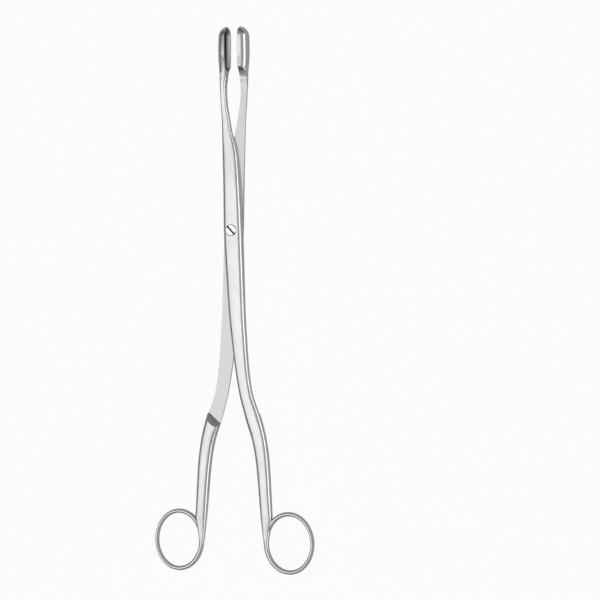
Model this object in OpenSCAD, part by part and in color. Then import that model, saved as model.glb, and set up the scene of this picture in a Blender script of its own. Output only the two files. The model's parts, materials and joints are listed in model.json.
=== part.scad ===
// Ovum forceps: two forged halves that cross in a screwed lap joint.
// X runs across the instrument and Y towards the jaws. Z is the pivot's axis, up from the ground flat
// under the joint, so the lapped faces lie at the height joint_t.
// Both halves have one form. The back half is the front half turned over about the long axis.

/* [Overall] */
// From the pivot to the tip of the jaws
tip_reach = 104.3; // [95:0.5:120]
// From the pivot to the middle of the finger rings, measured along the length
ring_reach = 160; // [150:0.5:180]
// Angle between the halves as the forceps lies, counted from the closed jaws
rest_opening = 4; // [0:0.1:40]
// Gap between the lapped faces
lap_gap = 0.1; // [0.04:0.02:0.3]
// Gap left between the lips at the tip when the jaws are closed
lip_gap = 0.1; // [0.05:0.05:1]

/* [Jaws] */
// Length of each jaw, from its tip to the neck
jaw_len = 25; // [22:0.5:32]
// Width across the jaw
jaw_w = 9.8; // [8:0.1:13]
// Width across the jaw where it starts to run into the neck
jaw_root_w = 8.6; // [7.5:0.1:10]
// Depth of the jaw, from lip to back
jaw_depth = 4.7; // [3.5:0.1:6]
// How far each lip falls back from the closing line, from the tip to the neck
lip_toe = 0.7; // [0:0.1:1.2]
// Thickness of the bowl's wall, and of its rim
rim_t = 0.84; // [0.6:0.02:1.4]
// Length of the hollow in each jaw
bowl_len = 22; // [15:0.5:24]
// Length of the curve that leads from the jaw's shoulder to the lapped face
relief_len = 12.6; // [9:0.2:14]
// Depth that this curve starts from
relief_drop = 5.6; // [5:0.1:8]

/* [Shanks] */
// Width of the neck behind the jaws
neck_w = 3.3; // [2.4:0.1:4]
// How far the middle of the neck stands off the closing line
neck_off = 2.9; // [2.4:0.1:4]
// Thickness of each half at its thinnest, in the neck
neck_t = 2.4; // [1.8:0.1:3.5]
// Width of each half at the joint
joint_w = 9.9; // [8.5:0.1:12]
// Thickness of each half at the joint, lap to ground flat
joint_t = 4.2; // [3.4:0.1:5.5]
// How much the forged crown stands over the ground flat before it is ground
ground_off = 0.15; // [0.05:0.05:0.4]
// Thickness of each half where its lap ends
lap_end_t = 3; // [2.4:0.1:3.6]

/* [Handles] */
// Width of the handle below its bend
handle_w = 7; // [5.5:0.1:9]
// Thickness of the whole handle below the step
handle_t = 5.7; // [4.8:0.1:7]
// Thickness of the handle where it reaches the ring
handle_end_t = 4.8; // [3.6:0.1:6]
// From the pivot to the middle of the step, along the length
step_reach = 96.2; // [90:0.2:102]
// How far the step's edge is turned from square across the instrument
step_skew = 39; // [0:1:50]
// Slope of the step's ramp
step_slope = 40; // [30:1:75]

/* [Rings] */
// Distance of each ring's middle from the closing line
ring_off = 24.8; // [21:0.1:31]
// Width of the ring, between the middles of its bar
ring_w = 25.1; // [20:0.1:30]
// Length of the ring, between the middles of its bar
ring_len = 29.6; // [26:0.1:38]
// Width of the ring's bar, seen from above
bar_w = 2.3; // [2:0.1:4]
// Thickness of the ring's bar
bar_t = 3; // [2.2:0.1:4.5]

/* [Joint screw] */
// Diameter of the screw's head
head_d = 5.6; // [5:0.1:7]
// Height of the head
head_h = 1.6; // [1:0.1:2.2]
// How far the head stands out of the ground flat
head_proud = 0.1; // [0:0.05:0.3]
// Width of the bevel round the head, and round the mouth of its counterbore
head_bevel = 0.25; // [0.1:0.05:0.5]
// Diameter of the plain shoulder that the front half turns on
shoulder_d = 4.2; // [3.8:0.1:4.8]
// Diameter of the threaded end in the back half
thread_d = 3.5; // [2.5:0.1:3.7]
// Running clearance all round the shoulder and the head
pivot_play = 0.05; // [0.02:0.01:0.1]
// Width of the screwdriver slot
slot_w = 0.85; // [0.5:0.05:1.2]
// Depth of the screwdriver slot
slot_depth = 0.8; // [0.4:0.1:1]
// Direction of the slot, turned from the X axis
slot_turn = -46; // [-90:1:90]

/* [Hidden] */
steel = "#c7cacd";
screw_steel = "#dadcde";

// How far past the lip the jaw's ovals have their middle
past_lip = 0.07;
// Closest the screw's thread sits to its hole
thread_play = 0.02;
// Spacing of the loft's sections along the half, and of the closer ones round the tip
section_step = 4;
tip_turns = 8;
// Share of the height by which the top swells between its two edges
crown = 0.03;
// How much thicker the ring's bar is than its mean on the handle's side, and thinner on the other
bar_swell = 0.12;
// Places round the ring's bar and round its section
ring_stops = 44;
bar_sides = 14;
ease = 1;
reach_over = 40;

tip_r = jaw_w / 2;
lip_line = lip_gap / 2;
neck_y = tip_reach - jaw_len;
joint_raw = joint_t + ground_off;
// Middle of the ring's bar on the side that the handle runs into
ring_side = ring_off - ring_w / 2;

// Where the lip runs, at any place along the jaw
function lip_at(y) = -lip_line - lip_toe * (tip_reach - y) / jaw_len;

// Middle of the jaw's ovals, a little past the lip
function oval_at(y) = lip_at(y) + past_lip;

// A place on the jaw, at a share of its length from the tip
function on_jaw(share) = tip_reach - share * jaw_len;

// Places along the half that set its form, in order from the tip to the ring.
// Each is: place on Y, middle on X, half width, height over and under the lap, how much of the height
// is plain side wall, how much of the width is top, and the shoulders, from 0, a chamfer, to 1, round.
// The jaw's sections are whole ovals about the lip, and the mouth's cut takes half of each away.
stations = [
    [tip_reach, oval_at(tip_reach), 0.86 * jaw_depth, tip_r, tip_r, 0.04, 0.06, 1],
    [on_jaw(0.2), oval_at(on_jaw(0.2)), 0.95 * jaw_depth, tip_r, tip_r, 0.04, 0.06, 1],
    [on_jaw(0.45), oval_at(on_jaw(0.45)), jaw_depth, tip_r, tip_r, 0.04, 0.06, 1],
    [on_jaw(0.68), oval_at(on_jaw(0.68)), 0.99 * jaw_depth, 0.95 * tip_r, 0.96 * tip_r, 0.04, 0.06, 1],
    [on_jaw(0.8), oval_at(on_jaw(0.8)), 0.93 * jaw_depth, jaw_root_w / 2, 0.46 * jaw_w, 0.06, 0.08, 1],
    [on_jaw(0.9), -0.4 * neck_off, 0.76 * jaw_depth, 0.46 * jaw_root_w, 0.45 * jaw_w, 0.12, 0.14, 1],
    [neck_y, -0.72 * neck_off, 0.54 * jaw_depth, 0.41 * jaw_root_w, 0.44 * jaw_w, 0.22, 0.26, 0.95],
    [0.96 * neck_y, -0.96 * neck_off, 0.57 * neck_w, 1.3 * neck_t, tip_r, 0.32, 0.36, 0.85],
    [0.9 * neck_y, -neck_off, neck_w / 2, 1.16 * neck_t, tip_r, 0.42, 0.46, 0.75],
    [0.81 * neck_y, -0.955 * neck_off, 0.53 * neck_w, 1.05 * neck_t, tip_r, 0.45, 0.5, 0.65],
    [0.72 * neck_y, -0.74 * neck_off, 0.64 * neck_w, neck_t, tip_r, 0.45, 0.5, 0.65],
    [0.62 * neck_y, -0.54 * neck_off, 0.28 * joint_w, 1.04 * neck_t, tip_r, 0.45, 0.52, 0.65],
    [0.52 * neck_y, -0.21 * neck_off, 0.38 * joint_w, 1.12 * neck_t, tip_r, 0.46, 0.54, 0.65],
    [0.26 * neck_y, 0.1, 0.455 * joint_w, 0.88 * joint_t, tip_r, 0.48, 0.56, 0.65],
    [0, 0.3, joint_w / 2, joint_raw, tip_r, 0.5, 0.57, 0.65],
    [-0.12 * ring_reach, 0.4, 0.48 * joint_w, joint_t - 0.1, tip_r, 0.5, 0.56, 0.65],
    [-0.32 * ring_reach, 0.09 * ring_side, 0.42 * joint_w, 1.16 * lap_end_t, tip_r, 0.46, 0.52, 0.65],
    [-0.51 * ring_reach, 0.3 * ring_side, handle_w / 2, 1.02 * lap_end_t, tip_r, 0.4, 0.46, 0.7],
    [-0.61 * ring_reach, 0.64 * ring_side, 0.59 * handle_w, lap_end_t, handle_t / 2, 0.3, 0.32, 0.8],
    [-0.67 * ring_reach, 0.84 * ring_side, 0.54 * handle_w, handle_t / 2, handle_t / 2, 0.28, 0.32, 0.8],
    [-0.74 * ring_reach, 0.96 * ring_side, handle_w / 2, handle_t / 2, handle_t / 2, 0.28, 0.34, 0.75],
    [-0.84 * ring_reach, 1.02 * ring_side, 0.46 * handle_w, 0.48 * handle_t, 0.48 * handle_t, 0.3, 0.38, 0.7],
    [ring_place(0.55), ring_side + 0.55, 0.44 * handle_w, handle_end_t / 2, handle_end_t / 2, 0.3, 0.42, 0.7],
    [ring_place(0.37), ring_side + 0.75, 0.42 * handle_w, 0.42 * handle_end_t, 0.42 * handle_end_t, 0.32, 0.5, 0.7],
    [ring_place(0.2), ring_side + 0.3, 0.9 * bar_w, 0.55 * bar_t, 0.55 * bar_t, 0.35, 0.5, 0.7],
    [ring_place(0.04), ring_side, 0.62 * bar_w, 0.46 * bar_t, 0.46 * bar_t, 0.35, 0.5, 0.7],
    [ring_place(-0.12), ring_side + 0.4, 0.4 * bar_w, 0.4 * bar_t, 0.4 * bar_t, 0.35, 0.5, 0.7]
];
last = len(stations) - 1;

// A place by the ring, at a share of its length above its middle
function ring_place(share) = -ring_reach + share * ring_len;

// Slope of one measure at a station, from the stations on both sides of it
function slope(i, c) =
    let (a = max(i - 1, 0), b = min(i + 1, last))
    (stations[b][c] - stations[a][c]) / (stations[b][0] - stations[a][0]);

// One measure between stations i and i + 1, at share u of the way, on a smooth cubic
function eased(i, u, c) =
    let (run = stations[i + 1][0] - stations[i][0])
    stations[i][c] * (1 + 2 * u) * pow(1 - u, 2)
    + stations[i + 1][c] * u * u * (3 - 2 * u)
    + run * slope(i, c) * u * pow(1 - u, 2)
    - run * slope(i + 1, c) * u * u * (1 - u);

function measures(i, u) =
    concat([stations[i][0] + u * (stations[i + 1][0] - stations[i][0])], [for (c = [1:7]) eased(i, u, c)]);

// The round tip: sections crowd towards its end, and close in height and in depth
function tip_part(turn) =
    let (
        back = tip_r * (1 - cos(turn)),
        m = measures(0, min(back / (stations[0][0] - stations[1][0]), 1))
    )
    [tip_reach - back, m[1], m[2] * sin(turn), tip_r * sin(turn), tip_r * sin(turn), m[5], m[6], m[7]];

function cuts(i) = max(1, ceil((stations[i][0] - stations[i + 1][0]) / section_step));

sections = concat(
    [for (k = [1:tip_turns]) tip_part(90 * k / (tip_turns + 0.5))],
    [for (i = [1:last - 1]) for (k = [0:cuts(i) - 1]) measures(i, k / cuts(i))],
    [stations[last]]
);

// One quarter of a section: side wall, rounded shoulder, crowned top
function quarter(a, t, wall, flat, bulge) =
    let (side = wall * t, top = t * (1 - crown), edge = flat * a)
    concat(
        [[a, 0], [a, side]],
        [for (k = [1:3])
            let (u = k / 4, chord = [a + (edge - a) * u, side + (top - side) * u])
            chord + bulge * ([edge + (a - edge) * cos(90 * u), side + (top - side) * sin(90 * u)] - chord)],
        [[edge, top], [edge / 2, t * (1 - crown / 4)]]
    );

function turned(points) = [for (i = [len(points) - 1:-1:0]) points[i]];

// A whole section, round once, as points on X and Z
function outline(s) =
    let (
        up = quarter(s[2], s[3], s[5], s[6], s[7]),
        down = quarter(s[2], s[4], s[5], s[6], s[7])
    )
    concat(
        up,
        [[0, s[3]]],
        [for (p = turned(up)) [-p[0], p[1]]],
        [for (i = [1:len(down) - 1]) [-down[i][0], -down[i][1]]],
        [[0, -s[4]]],
        [for (i = [len(down) - 1:-1:1]) [down[i][0], -down[i][1]]]
    );

function in_place(s) = [for (p = outline(s)) [s[1] + p[0], s[0], p[1]]];

// Triangles between ring i and the next one, for rings of n points
function band(i, j, n) =
    [for (k = [0:n - 1]) let (l = (k + 1) % n)
        each [[i * n + k, j * n + l, i * n + l], [i * n + k, j * n + k, j * n + l]]];

// A solid drawn through the sections, with a flat end at each end
module loft(rows) {
    n = len(rows[0]);
    ends = len(rows) - 1;
    polyhedron(
        points = [for (r = rows) each r],
        faces = concat(
            [[for (k = [0:n - 1]) k]],
            [for (i = [0:ends - 1]) each band(i, i + 1, n)],
            [[for (k = [n - 1:-1:0]) ends * n + k]]
        )
    );
}

// The finger ring: an oval path with a rounded bar all the way round
module finger_ring() {
    rows = [for (i = [0:ring_stops - 1])
        let (
            turn = 360 * i / ring_stops,
            mid = [ring_w / 2 * cos(turn), ring_len / 2 * sin(turn)],
            out = [ring_len * cos(turn), ring_w * sin(turn)] / norm([ring_len * cos(turn), ring_w * sin(turn)])
        )
        [for (k = [0:bar_sides - 1])
            let (
                roll = -360 * k / bar_sides,
                away = bar_w / 2 * (1 - bar_swell * cos(turn)) * cos(roll)
            )
            [mid[0] + out[0] * away, mid[1] + out[1] * away, bar_t / 2 * sin(roll)]]];
    translate([ring_off, -ring_reach, 0])
        polyhedron(
            points = [for (r = rows) each r],
            faces = [for (i = [0:ring_stops - 1]) each band(i, (i + 1) % ring_stops, bar_sides)]
        );
}

// The forging before its lap, flat and bowl are cut
module forging() {
    loft([for (s = sections) in_place(s)]);
    finger_ring();
}

// What is milled away under the half, from the jaw's shoulder to the step
module lap_cut() {
    y_end = tip_reach - jaw_len * 1.32;
    top = lap_gap / 2;
    deep = reach_over / 2;
    hollow = [for (k = [0:12]) let (turn = 90 * k / 12)
        [y_end + relief_len * sin(turn), top - relief_drop * (1 - cos(turn))]];
    rotate([90, 0, 90])
        translate([0, 0, -reach_over / 2])
            linear_extrude(reach_over)
                polygon(concat([[-step_reach / 2, top]], hollow, [[y_end + relief_len, -deep], [-step_reach / 2, -deep]]));
    translate([0.61 * ring_side, -step_reach, 0])
        rotate([0, 0, step_skew])
            rotate([90, 0, 90])
                translate([0, 0, -reach_over])
                    linear_extrude(2 * reach_over)
                        polygon([
                            [0, top],
                            [step_reach * 0.6, top],
                            [step_reach * 0.6, -deep],
                            [-deep / tan(step_slope), -deep]
                        ]);
}

// What lies beyond the lip, all along the jaw and past its end
module mouth_cut() {
    ends = [tip_reach + ease, 0.9 * neck_y];
    translate([0, 0, -reach_over / 2])
        linear_extrude(reach_over)
            polygon([
                [lip_at(ends[0]), ends[0]],
                [lip_at(ends[1]), ends[1]],
                [reach_over / 2, ends[1]],
                [reach_over / 2, ends[0]]
            ]);
}

// A section of the hollow, round the lip, with its depth and its half height
function hollow(y, depth, height) = in_place([y, oval_at(y), depth, height, height, 0.04, 0.06, 1]);

// The hollow of the bowl: round at the tip, narrower and shelving up at the heel
module bowl_cut() {
    deep = jaw_depth - rim_t;
    wide = tip_r - rim_t;
    narrow = jaw_root_w / 2 - rim_t;
    front = tip_reach - rim_t;
    heel = front - bowl_len + narrow;
    loft(concat(
        [for (k = [1:tip_turns - 1]) let (turn = 90 * k / (tip_turns - 0.5))
            hollow(front - wide * (1 - cos(turn)), 0.94 * deep * sin(turn), wide * sin(turn))],
        [hollow(on_jaw(0.45), deep, wide)],
        [hollow(on_jaw(0.62), deep, 0.5 * (wide + 0.97 * tip_r - rim_t))],
        [for (k = [0:tip_turns - 2]) let (turn = 90 * k / (tip_turns - 1.5))
            hollow(heel - narrow * sin(turn), 0.94 * deep * cos(turn), narrow * cos(turn))]
    ));
}

// One half with its lap milled and its joint ground flat, jaws closed
module half_blank() {
    difference() {
        forging();
        lap_cut();
        mouth_cut();
        bowl_cut();
        translate([-reach_over / 2, -reach_over / 2, joint_t])
            cube([reach_over, reach_over, reach_over]);
    }
}

// The upper half, bored for the screw's shoulder and counterbored for its head
module front_half() {
    bore = head_d + 2 * pivot_play;
    color(steel)
        translate([0, 0, joint_t])
            rotate([0, 0, rest_opening / 2])
                difference() {
                    half_blank();
                    translate([0, 0, -ease])
                        cylinder(d = shoulder_d + 2 * pivot_play, h = joint_t + 2 * ease, $fn = 64);
                    translate([0, 0, joint_t + head_proud - head_h - pivot_play])
                        cylinder(d = bore, h = head_h + ease, $fn = 64);
                    translate([0, 0, joint_t - head_bevel])
                        cylinder(d1 = bore, d2 = bore + 4 * head_bevel, h = 2 * head_bevel, $fn = 64);
                }
}

// The lower half, with the hole that the screw is turned into
module back_half() {
    color(steel)
        translate([0, 0, joint_t])
            rotate([0, 0, -rest_opening / 2])
                difference() {
                    rotate([0, 180, 0])
                        half_blank();
                    translate([0, 0, -joint_t - ease])
                        cylinder(d = thread_d + 2 * thread_play, h = joint_t + 2 * ease, $fn = 64);
                }
}

// The joint screw: slotted head, plain shoulder and an end filed off flush
module joint_screw() {
    top = joint_t + head_proud;
    color(screw_steel)
        translate([0, 0, joint_t])
            difference() {
                union() {
                    translate([0, 0, top - head_h])
                        cylinder(d = head_d, h = head_h - head_bevel, $fn = 64);
                    translate([0, 0, top - head_bevel])
                        cylinder(d1 = head_d, d2 = head_d - 2 * head_bevel, h = head_bevel, $fn = 64);
                    translate([0, 0, -lap_gap / 2])
                        cylinder(d = shoulder_d, h = top - head_h + lap_gap / 2, $fn = 64);
                    translate([0, 0, -joint_t])
                        cylinder(d = thread_d, h = joint_t, $fn = 64);
                }
                translate([0, 0, top - slot_depth / 2 + ease / 2])
                    rotate([0, 0, slot_turn])
                        cube([head_d + ease, slot_w, slot_depth + ease], center = true);
            }
}

front_half();
back_half();
joint_screw();
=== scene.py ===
import json
import math

import bmesh
import bpy
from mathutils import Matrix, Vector


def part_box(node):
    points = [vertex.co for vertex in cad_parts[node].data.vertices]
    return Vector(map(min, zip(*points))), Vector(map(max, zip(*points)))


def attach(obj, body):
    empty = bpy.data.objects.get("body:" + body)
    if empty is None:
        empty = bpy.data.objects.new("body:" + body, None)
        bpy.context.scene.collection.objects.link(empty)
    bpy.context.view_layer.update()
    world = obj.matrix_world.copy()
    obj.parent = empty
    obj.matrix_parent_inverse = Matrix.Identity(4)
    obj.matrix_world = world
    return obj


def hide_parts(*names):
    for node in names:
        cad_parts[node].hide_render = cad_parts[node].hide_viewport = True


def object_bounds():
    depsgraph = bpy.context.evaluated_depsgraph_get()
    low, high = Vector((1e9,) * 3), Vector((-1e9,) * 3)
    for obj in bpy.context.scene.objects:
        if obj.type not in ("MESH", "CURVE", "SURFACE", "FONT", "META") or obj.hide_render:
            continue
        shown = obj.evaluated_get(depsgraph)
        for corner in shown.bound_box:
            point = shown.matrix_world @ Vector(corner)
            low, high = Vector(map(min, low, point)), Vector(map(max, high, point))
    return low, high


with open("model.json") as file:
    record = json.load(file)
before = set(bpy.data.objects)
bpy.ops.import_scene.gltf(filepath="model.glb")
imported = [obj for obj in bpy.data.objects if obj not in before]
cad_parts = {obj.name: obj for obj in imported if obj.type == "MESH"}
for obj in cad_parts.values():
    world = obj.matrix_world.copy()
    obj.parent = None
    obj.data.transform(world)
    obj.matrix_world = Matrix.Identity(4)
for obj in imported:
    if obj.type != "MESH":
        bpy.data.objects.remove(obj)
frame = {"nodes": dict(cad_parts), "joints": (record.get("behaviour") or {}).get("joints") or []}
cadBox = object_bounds()
print("frame loaded, box", cadBox)

mm = 0.001

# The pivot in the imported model: on the screw's axis, at the height of the lapped faces
pivotAt = Vector(frame["joints"][0]["pos_m"])
lapHeight = pivotAt.z


def linear(hexColour):
    # the linear colour that the shaders take, from an sRGB hex value
    channels = [int(hexColour[i:i + 2], 16) / 255 for i in (1, 3, 5)]
    straight = [c / 12.92 if c <= 0.04045 else ((c + 0.055) / 1.055) ** 2.4 for c in channels]
    return (*straight, 1)


def addNode(tree, kind, settings=None, inputs=None):
    # one node with its settings; each of its inputs gets a value or another node's output
    node = tree.nodes.new(kind)
    for name, value in (settings or {}).items():
        setattr(node, name, value)
    for name, value in (inputs or {}).items():
        if isinstance(value, bpy.types.NodeSocket):
            tree.links.new(value, node.inputs[name])
        else:
            node.inputs[name].default_value = value
    return node


def newMaterial(name):
    material = bpy.data.materials.new(name)
    material.use_nodes = True
    material.node_tree.nodes.clear()
    return material, material.node_tree


# Camera: the photograph looks down on the forceps from its right side, turned about the long axis
camera = {
    "lean": 21,              # degrees from straight above, towards the right
    "lens": 150,             # long lens, in mm
    "field": 306.9 * mm,     # what the picture takes in, across
    "right": 33.8 * mm,      # the picture's middle, to the right of the pivot
    "down": 35.6 * mm,       # and below it
    "clipStart": 0.05,       # m
    "clipEnd": 20,
}


def makeCamera(c):
    lean = math.radians(c["lean"])
    towards = Vector((math.sin(lean), 0, math.cos(lean)))
    across = Vector((math.cos(lean), 0, -math.sin(lean)))
    data = bpy.data.cameras.new("camera")
    data.lens = c["lens"]
    data.clip_start = c["clipStart"]
    data.clip_end = c["clipEnd"]
    distance = c["field"] * c["lens"] / data.sensor_width
    obj = bpy.data.objects.new("camera", data)
    obj.location = pivotAt + across * c["right"] - Vector((0, c["down"], 0)) + towards * distance
    obj.rotation_euler = (0, lean, 0)
    bpy.context.scene.collection.objects.link(obj)
    bpy.context.scene.camera = obj


makeCamera(camera)
print("camera set")

# Studio: white paper to the camera, a wide soft box overhead to the left for the tops, and a low
# one at the right for the flanks. The rest of the room is dim, which draws the dark lines along
# the sides.
studio = {
    "floorSize": 3.0,                      # m, half its width
    "floorGap": 0.02 * mm,                 # under the lowest point of the forceps
    "floorColour": "#97989a",
    "floorWhite": 0.96,                    # share of white that the camera sees, over the shadows
    "floorInMetal": 0.3,                   # and the share of it that the steel mirrors
    "roomLow": "#1c1d1f",                  # the room's tone down by the table
    "roomLowTo": 0.15,                     # sine of the height above the horizon where it ends
    "roomHigh": "#bebfc0",                 # the tone overhead
    "roomHighFrom": 0.9,                   # and where that is reached
    "roomStrength": 1.0,
    "overheadPlace": (-0.5, -0.08, 1.3),   # m
    "overheadSize": (1.0, 2.8),            # m, along the forceps and across it
    "overheadPower": 7.4,                  # W
    "flankPlace": (1.5, 0.0, 0.35),        # m
    "flankSize": (1.9, 0.65),              # m, along the forceps and in height
    "flankPower": 8.0,                     # W
}


def makeSoftBox(name, place, size, power):
    lamp = bpy.data.lights.new(name, "AREA")
    lamp.shape = "RECTANGLE"
    lamp.size, lamp.size_y = size
    lamp.energy = power
    box = bpy.data.objects.new(name, lamp)
    box.location = place
    box.rotation_euler = (box.location * -1).to_track_quat("-Z", "Y").to_euler()
    bpy.context.scene.collection.objects.link(box)


def makeFloor(s):
    bm = bmesh.new()
    bmesh.ops.create_grid(bm, x_segments=1, y_segments=1, size=s["floorSize"])
    bmesh.ops.translate(bm, vec=(0, 0, cadBox[0][2] - s["floorGap"]), verts=bm.verts)
    mesh = bpy.data.meshes.new("floor")
    bm.to_mesh(mesh)
    bm.free()
    floor = bpy.data.objects.new("floor", mesh)
    bpy.context.scene.collection.objects.link(floor)

    # matt paper, which the camera sees as nearly white with the shadows left on it
    material, tree = newMaterial("studioPaper")
    rays = addNode(tree, "ShaderNodeLightPath")
    inMetal = addNode(tree, "ShaderNodeMath", {"operation": "MULTIPLY"}, {
        0: rays.outputs["Is Glossy Ray"], 1: s["floorInMetal"]})
    share = addNode(tree, "ShaderNodeMath", {"operation": "MULTIPLY_ADD"}, {
        0: rays.outputs["Is Camera Ray"], 1: s["floorWhite"], 2: inMetal.outputs[0]})
    paper = addNode(tree, "ShaderNodeBsdfDiffuse", {}, {"Color": linear(s["floorColour"])})
    white = addNode(tree, "ShaderNodeEmission", {}, {"Color": linear("#ffffff"), "Strength": 1.0})
    mix = addNode(tree, "ShaderNodeMixShader", {}, {
        0: share.outputs[0], 1: paper.outputs[0], 2: white.outputs[0]})
    addNode(tree, "ShaderNodeOutputMaterial", {}, {"Surface": mix.outputs[0]})
    mesh.materials.append(material)


def makeRoom(s):
    world = bpy.data.worlds.new("room")
    bpy.context.scene.world = world
    world.use_nodes = True
    tree = world.node_tree
    tree.nodes.clear()
    where = addNode(tree, "ShaderNodeTexCoord").outputs["Generated"]
    height = addNode(tree, "ShaderNodeSeparateXYZ", {}, {"Vector": where}).outputs["Z"]
    ramp = addNode(tree, "ShaderNodeValToRGB", {}, {"Fac": height})
    low, high = ramp.color_ramp.elements
    low.position, low.color = s["roomLowTo"], linear(s["roomLow"])
    high.position, high.color = s["roomHighFrom"], linear(s["roomHigh"])
    light = addNode(tree, "ShaderNodeBackground", {}, {
        "Color": ramp.outputs[0], "Strength": s["roomStrength"]})
    addNode(tree, "ShaderNodeOutputWorld", {}, {"Surface": light.outputs[0]})


makeFloor(studio)
makeRoom(studio)
for light in ("overhead", "flank"):
    makeSoftBox(light + "Box", studio[light + "Place"], studio[light + "Size"],
                studio[light + "Power"])
print("studio set")

noiseRange = {"From Min": 0.3, "From Max": 0.7}     # where nearly all values of a noise lie

# Satin stainless steel: forged, ground and brushed lengthwise, which gives soft bright bands with
# fine lines along them. The lapped faces are left dull and show as an even flat grey.
satinSteel = {
    "light": "#dddddd",
    "dark": "#c6c7c8",
    "patch": 14 * mm,                   # size of the patches in which the two tones mix
    "roughness": 0.24,
    "roughnessSpread": (-0.04, 0.06),
    "grainWidth": 0.25 * mm,            # one brush line, coarser than the real so that it shows
    "grainLength": 12 * mm,
    "grainDepth": 0.004 * mm,
    "grainStrength": 0.25,
    "lapColour": "#d8d9d9",
    "lapRoughness": 0.45,
    "lapWithin": 0.7 * mm,              # the dull look reaches this far from the lap's height
    "lapUpright": 0.94,                 # on faces whose normal lies along the pivot this much
}


def makeSatinSteel(s):
    material, tree = newMaterial("satinStainlessSteel")
    place = addNode(tree, "ShaderNodeTexCoord").outputs["Object"]
    stretched = addNode(tree, "ShaderNodeMapping", {}, {
        "Vector": place, "Scale": (1, s["grainWidth"] / s["grainLength"], 1)})
    grain = addNode(tree, "ShaderNodeTexNoise", {}, {
        "Vector": stretched.outputs[0], "Scale": 1 / s["grainWidth"], "Detail": 3.0,
        "Roughness": 0.6})
    patches = addNode(tree, "ShaderNodeTexNoise", {}, {
        "Vector": place, "Scale": 1 / s["patch"], "Detail": 2.0})
    tone = addNode(tree, "ShaderNodeMix", {"data_type": "RGBA"}, {
        "Factor": patches.outputs["Fac"], "A": linear(s["dark"]), "B": linear(s["light"])})

    # the lapped face is the flat one at the height of the lap
    height = addNode(tree, "ShaderNodeSeparateXYZ", {}, {"Vector": place}).outputs["Z"]
    atLap = addNode(tree, "ShaderNodeMath", {"operation": "COMPARE"}, {
        0: height, 1: lapHeight, 2: s["lapWithin"]})
    normal = addNode(tree, "ShaderNodeNewGeometry").outputs["True Normal"]
    alongPivot = addNode(tree, "ShaderNodeSeparateXYZ", {}, {"Vector": normal}).outputs["Z"]
    upright = addNode(tree, "ShaderNodeMath", {"operation": "ABSOLUTE"}, {0: alongPivot})
    flat = addNode(tree, "ShaderNodeMath", {"operation": "GREATER_THAN"}, {
        0: upright.outputs[0], 1: s["lapUpright"]})
    lap = addNode(tree, "ShaderNodeMath", {"operation": "MULTIPLY"}, {
        0: atLap.outputs[0], 1: flat.outputs[0]})

    colour = addNode(tree, "ShaderNodeMix", {"data_type": "RGBA"}, {
        "Factor": lap.outputs[0], "A": tone.outputs["Result"], "B": linear(s["lapColour"])})
    smoother, rougher = s["roughnessSpread"]
    brushed = addNode(tree, "ShaderNodeMapRange", {}, {
        "Value": grain.outputs["Fac"], **noiseRange,
        "To Min": s["roughness"] + smoother, "To Max": s["roughness"] + rougher})
    roughness = addNode(tree, "ShaderNodeMix", {"data_type": "FLOAT"}, {
        "Factor": lap.outputs[0], "A": brushed.outputs[0], "B": s["lapRoughness"]})
    bump = addNode(tree, "ShaderNodeBump", {}, {
        "Strength": s["grainStrength"], "Distance": s["grainDepth"],
        "Height": grain.outputs["Fac"]})
    metal = addNode(tree, "ShaderNodeBsdfPrincipled", {}, {
        "Base Color": colour.outputs["Result"], "Metallic": 1.0,
        "Roughness": roughness.outputs["Result"], "Normal": bump.outputs[0]})
    addNode(tree, "ShaderNodeOutputMaterial", {}, {"Surface": metal.outputs[0]})
    return material


# Ground stainless steel of the screw: turned, then ground across its face, which gives a bright
# head with a faintly uneven gloss. Its slot is painted near black: painted shade in the recess.
groundSteel = {
    "colour": "#dfdfdf",
    "roughness": 0.2,
    "roughnessSpread": (-0.04, 0.08),
    "scratch": 0.3 * mm,
    # the slot's near-black colour is painted shade in the recess
    "slotShadeColour": "#17181a",
    "slotRoughness": 0.55,
    "slotBelow": 0.15 * mm,      # the slot's faces start this far under the top of the head
    "slotTo": 1.2 * mm,          # and end here
    "slotWithin": 2.7 * mm,      # and lie nearer to the screw's axis than this
}


def makeGroundSteel(s, name, colour, roughness):
    material, tree = newMaterial(name)
    place = addNode(tree, "ShaderNodeTexCoord").outputs["Object"]
    scratches = addNode(tree, "ShaderNodeTexNoise", {}, {
        "Vector": place, "Scale": 1 / s["scratch"], "Detail": 4.0})
    smoother, rougher = s["roughnessSpread"]
    ground = addNode(tree, "ShaderNodeMapRange", {}, {
        "Value": scratches.outputs["Fac"], **noiseRange,
        "To Min": roughness + smoother, "To Max": roughness + rougher})
    metal = addNode(tree, "ShaderNodeBsdfPrincipled", {}, {
        "Base Color": linear(colour), "Metallic": 1.0, "Roughness": ground.outputs[0]})
    addNode(tree, "ShaderNodeOutputMaterial", {}, {"Surface": metal.outputs[0]})
    return material


# Inside the jaws: stainless steel left as forged in the hollow, where no wheel reaches, with pits
# and a duller gloss. Its colour is painted shade: near black at the bottom, grey on the wall,
# light at the rim.
forgedSteelShade = {
    # the tones of the painted shade, light at the rim and near black at the bottom of the hollow
    "rim": "#e2e3e3",
    "wall": "#8f9091",
    "bottom": "#141516",
    "rimOff": 3.7 * mm,          # where each tone lies, measured from the middle of the mouth
    "wallOff": 5.3 * mm,
    "bottomOff": 6.5 * mm,
    "roughness": 0.34,
    "pitWidth": 0.6 * mm,        # the pits of the forging
    "pitDepth": 0.02 * mm,
    "pitStrength": 0.3,
}


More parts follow.
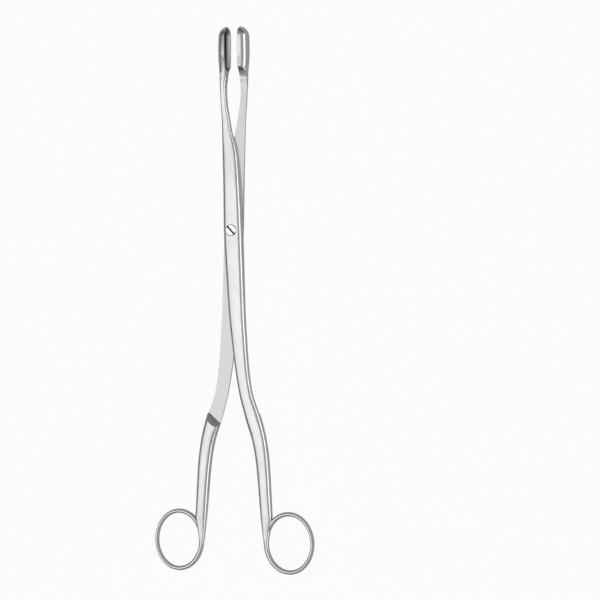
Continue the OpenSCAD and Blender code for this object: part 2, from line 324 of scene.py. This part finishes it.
def makeForgedSteelShade(s):
    material, tree = newMaterial("forgedStainlessSteelPaintedShade")
    place = addNode(tree, "ShaderNodeTexCoord").outputs["Object"]
    across = addNode(tree, "ShaderNodeSeparateXYZ", {}, {"Vector": place}).outputs["X"]
    off = addNode(tree, "ShaderNodeMath", {"operation": "ABSOLUTE"}, {0: across})
    depth = addNode(tree, "ShaderNodeMapRange", {}, {
        "Value": off.outputs[0], "From Min": s["rimOff"], "From Max": s["bottomOff"]})
    # painted shade: the colour darkens with the depth into the hollow
    ramp = addNode(tree, "ShaderNodeValToRGB", {}, {"Fac": depth.outputs[0]})
    stops = ramp.color_ramp.elements
    stops[0].color = linear(s["rim"])
    stops[1].color = linear(s["bottom"])
    wall = stops.new((s["wallOff"] - s["rimOff"]) / (s["bottomOff"] - s["rimOff"]))
    wall.color = linear(s["wall"])
    pits = addNode(tree, "ShaderNodeTexNoise", {}, {
        "Vector": place, "Scale": 1 / s["pitWidth"], "Detail": 3.0})
    bump = addNode(tree, "ShaderNodeBump", {}, {
        "Strength": s["pitStrength"], "Distance": s["pitDepth"], "Height": pits.outputs["Fac"]})
    metal = addNode(tree, "ShaderNodeBsdfPrincipled", {}, {
        "Base Color": ramp.outputs[0], "Metallic": 1.0, "Roughness": s["roughness"],
        "Normal": bump.outputs[0]})
    addNode(tree, "ShaderNodeOutputMaterial", {}, {"Surface": metal.outputs[0]})
    return material


steel = makeSatinSteel(satinSteel)
screwSteel = makeGroundSteel(
    groundSteel, "groundStainlessSteel", groundSteel["colour"], groundSteel["roughness"])
# the slot gets the same ground steel in a near-black colour: painted shade
slotShadeSteel = makeGroundSteel(
    groundSteel, "slotPaintedShadeSteel", groundSteel["slotShadeColour"], groundSteel["slotRoughness"])
# the bowls' material, which carries the painted shade of their hollows
bowlShadeSteel = makeForgedSteelShade(forgedSteelShade)
print("materials made")

# Merging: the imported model's loose triangles become whole faces
merging = {
    "together": 0.002 * mm,      # corners nearer than this are one
    "tooShort": 0.001 * mm,      # edges shorter than this go
    "flatWithin": 0.4,           # degrees; faces that bend less than this are one
    "squareWithin": 60,          # degrees; how far a joined pair's corners may be from square
}

# Polishing: the corners are eased a little, the lips and the step's edge more
polish = {
    "smoothUpTo": 24.5,          # degrees; facets that meet at less than this shade as one curve
    "segments": 3,
    "cornerFrom": 50,            # degrees; edges sharper than this are eased
    "corner": 0.1 * mm,
    "lip": 0.28 * mm,
    "lipOff": 4.2 * mm,          # the lips lie nearer to the closing line than this
    "bowlFrom": 79 * mm,         # and the bowls farther from the pivot than this
    "bowlSideways": 0.02,        # a bowl's face looks at least this much to the side
    "stepSharp": 28,             # degrees; the step's edges are sharper than this
    "step": 0.3 * mm,
    "stepFrom": 88 * mm,         # the step lies between these two, from the pivot to the rings
    "stepTo": 103 * mm,
    "stepOff": 0.3 * mm,         # its eased edges are farther from the lapped face than this
    "lapOff": 0.2 * mm,          # a lapped face lies nearer to the lap's height than this
    "lapUpright": 0.9999,        # and its normal lies along the pivot this much
}


def middle(edge):
    return (edge.verts[0].co + edge.verts[1].co) / 2


def easeEdges(bm, wanted, width, fromAngle):
    edges = [e for e in bm.edges if len(e.link_faces) == 2 and wanted(middle(e))
             and e.calc_face_angle(0) > math.radians(fromAngle)]
    bmesh.ops.bevel(bm, geom=edges, offset=width, offset_type="OFFSET", affect="EDGES",
                    segments=polish["segments"], profile=0.5, material=-1, clamp_overlap=True)


def onLip(place):
    return place.y > polish["bowlFrom"] and abs(place.x) < polish["lipOff"]


def offLip(place):
    return not onLip(place)


def onStep(place):
    return (-polish["stepTo"] < place.y < -polish["stepFrom"]
            and abs(place.z - lapHeight) > polish["stepOff"])


def inBowl(face):
    # its outward normal leans towards the middle of the mouth; these faces get the painted shade
    # of the hollow
    place = face.calc_center_median()
    lipOff = math.copysign(forgedSteelShade["rimOff"], place.x)
    away = Vector((place.x - lipOff, 0, place.z - lapHeight))
    return (place.y > polish["bowlFrom"] and abs(place.x) > abs(lipOff)
            and face.normal.dot(away) < 0 and abs(face.normal.x) > polish["bowlSideways"])


def isLapped(face):
    return (abs(face.normal.z) > polish["lapUpright"]
            and abs(face.calc_center_median().z - lapHeight) < polish["lapOff"])


def curves(edge):
    # facets that shade as one curve; the flat lapped face keeps its own shade to its very edge
    if len(edge.link_faces) != 2 or isLapped(edge.link_faces[0]) != isLapped(edge.link_faces[1]):
        return False
    return edge.calc_face_angle(0) < math.radians(polish["smoothUpTo"])


def inSlot(face):
    # a face sunk in the screw's head, inside its rim; these faces get the slot's painted shade
    place = face.calc_center_median()
    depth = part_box("joint_screw")[1][2] - place.z
    return (groundSteel["slotBelow"] < depth < groundSteel["slotTo"]
            and math.hypot(place.x, place.y) < groundSteel["slotWithin"])


def mergeTriangles(bm):
    bmesh.ops.remove_doubles(bm, verts=bm.verts, dist=merging["together"])
    bmesh.ops.dissolve_degenerate(bm, edges=bm.edges, dist=merging["tooShort"])
    bmesh.ops.dissolve_limit(bm, angle_limit=math.radians(merging["flatWithin"]),
                             verts=bm.verts, edges=bm.edges)
    bmesh.ops.join_triangles(bm, faces=bm.faces,
                             angle_face_threshold=math.radians(polish["smoothUpTo"]),
                             angle_shape_threshold=math.radians(merging["squareWithin"]))
    bm.normal_update()


def polishedCopy(node, name, materials, inSecond):
    # a CAD node's shape with eased edges; the faces that inSecond picks get the second material
    bm = bmesh.new()
    bm.from_mesh(frame["nodes"][node].data)
    mergeTriangles(bm)
    for face in bm.faces:
        face.material_index = 1 if inSecond(face) else 0
    easeEdges(bm, onLip, polish["lip"], polish["cornerFrom"])
    easeEdges(bm, onStep, polish["step"], polish["stepSharp"])
    easeEdges(bm, offLip, polish["corner"], polish["cornerFrom"])
    bm.normal_update()
    for face in bm.faces:
        face.smooth = True
    for edge in bm.edges:
        edge.smooth = curves(edge)
    mesh = bpy.data.meshes.new(name)
    bm.to_mesh(mesh)
    bm.free()
    for material in materials:
        mesh.materials.append(material)
    obj = bpy.data.objects.new(name, mesh)
    bpy.context.scene.collection.objects.link(obj)
    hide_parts(node)
    print(name, "made, faces", len(mesh.polygons))
    return obj


frontHalf = polishedCopy("front_half", "frontHalf", [steel, bowlShadeSteel], inBowl)
backHalf = polishedCopy("back_half", "backHalf", [steel, bowlShadeSteel], inBowl)
jointScrew = polishedCopy(
    "joint_screw", "jointScrew", [screwSteel, slotShadeSteel], inSlot)
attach(frontHalf, "front")
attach(backHalf, "back")
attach(jointScrew, "back")
print("pieces made")

bpy.context.scene.view_settings.view_transform = "Standard"
